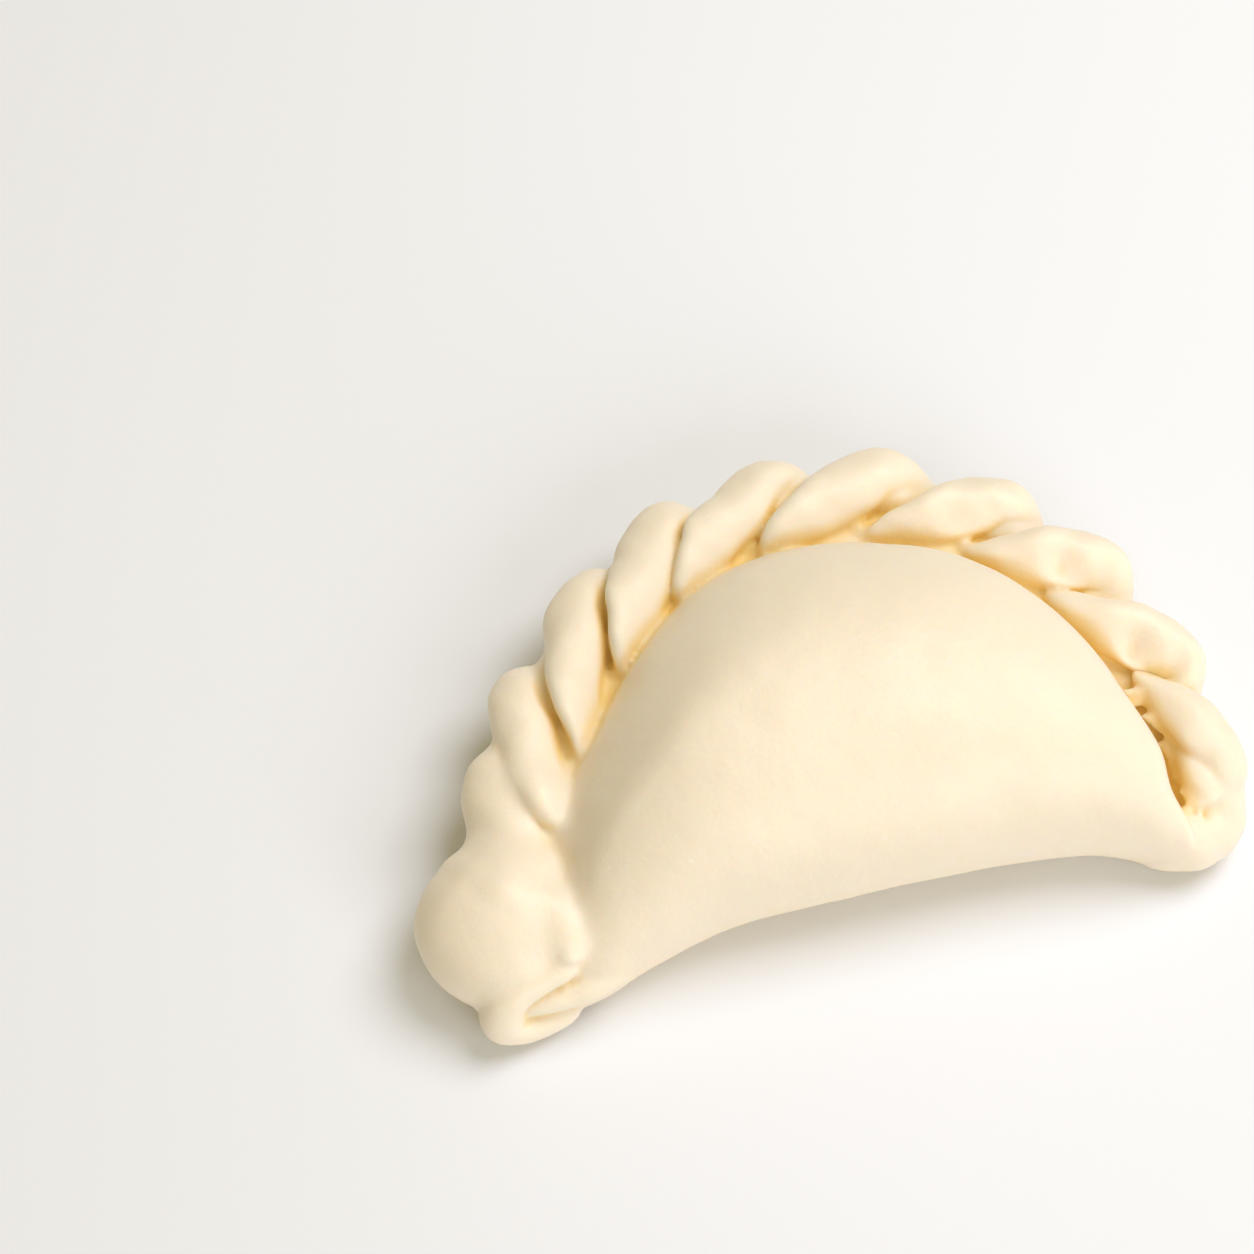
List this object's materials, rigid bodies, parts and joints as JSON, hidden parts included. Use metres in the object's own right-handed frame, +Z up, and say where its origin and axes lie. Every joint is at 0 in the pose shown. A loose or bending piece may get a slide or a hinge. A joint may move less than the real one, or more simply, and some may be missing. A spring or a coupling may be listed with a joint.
{
  "type": "empanada",
  "caption": "Raw half-moon empanada of folded pale dough, plump and domed, with a thick twisted rope edge and a flat underside to rest on.",
  "frame": {"origin": "middle of the bounding box in plan, at the level the empanada rests on", "axes": "+X along the length from the bulb end to the plain corner, +Y from the fold towards the twisted edge, +Z up through the dome"},
  "size_m": [0.1202, 0.0798, 0.032],
  "materials": {
    "dough": "smooth raw dough, satin, pale cream"
  },
  "bodies": {
    "root": {"empanada": "dough"}
  },
  "joints": []
}
